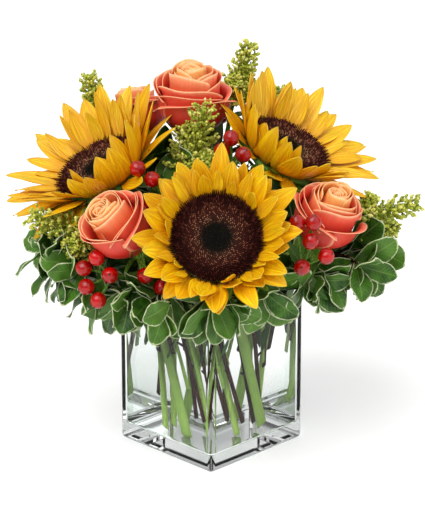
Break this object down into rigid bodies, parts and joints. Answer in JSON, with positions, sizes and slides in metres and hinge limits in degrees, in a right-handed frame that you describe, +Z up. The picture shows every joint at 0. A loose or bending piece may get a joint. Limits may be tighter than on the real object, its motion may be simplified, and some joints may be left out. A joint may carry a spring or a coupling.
{
  "type": "cut flower bouquet in a square glass vase",
  "caption": "Bouquet of sunflowers, coral roses, goldenrod, red berries and cream-edged foliage in a square clear glass vase of water.",
  "frame": {"origin": "middle of the vase's flat underside, on the surface it stands on", "axes": "+Z up; -Y out of the bouquet's front, through the vase's front corner; +X to the right as seen from the front"},
  "size_m": [0.3172, 0.2584, 0.2972],
  "materials": {
    "glass": "clear polished glass",
    "water": "clear still water",
    "sunflower_petal": "matt golden yellow petals",
    "seed_disc": "velvety dark brown florets",
    "rose_petal": "satin coral petals",
    "goldenrod_floret": "matt yellow-green florets",
    "berry": "glossy red skin",
    "leaf": "satin green leaves with cream edges",
    "green_stem": "matt green stems and calyxes",
    "woody_stem": "matt brown bark"
  },
  "bodies": {
    "root": {"vase": "glass", "water": "water", "sunflower_front_disc": "seed_disc", "sunflower_front_rays": "sunflower_petal", "sunflower_front_stem": "green_stem", "sunflower_left_disc": "seed_disc", "sunflower_left_rays": "sunflower_petal", "sunflower_left_stem": "green_stem", "sunflower_right_disc": "seed_disc", "sunflower_right_rays": "sunflower_petal", "sunflower_right_stem": "green_stem", "rose_left_bloom": "rose_petal", "rose_left_stem": "green_stem", "rose_right_bloom": "rose_petal", "rose_right_stem": "green_stem", "rose_top_bloom": "rose_petal", "rose_top_stem": "green_stem", "rose_back_bloom": "rose_petal", "rose_back_stem": "green_stem", "goldenrod_top_left_plume": "goldenrod_floret", "goldenrod_top_left_stem": "green_stem", "goldenrod_top_right_plume": "goldenrod_floret", "goldenrod_top_right_stem": "green_stem", "goldenrod_centre_plume": "goldenrod_floret", "goldenrod_centre_stem": "green_stem", "goldenrod_left_plume": "goldenrod_floret", "goldenrod_left_stem": "green_stem", "goldenrod_right_plume": "goldenrod_floret", "goldenrod_right_stem": "green_stem", "goldenrod_rear_plume": "goldenrod_floret", "goldenrod_rear_stem": "green_stem", "berries_left": "berry", "berries_low": "berry", "berries_centre": "berry", "berries_top": "berry", "berries_right": "berry", "berries_rear": "berry", "foliage_far_left": "leaf", "foliage_low_left": "leaf", "foliage_front_left": "leaf", "foliage_front": "leaf", "foliage_front_right": "leaf", "foliage_low_right": "leaf", "foliage_far_right": "leaf", "foliage_inner": "leaf", "foliage_back_left": "leaf", "foliage_back": "leaf", "foliage_back_right": "leaf"}
  },
  "joints": []
}
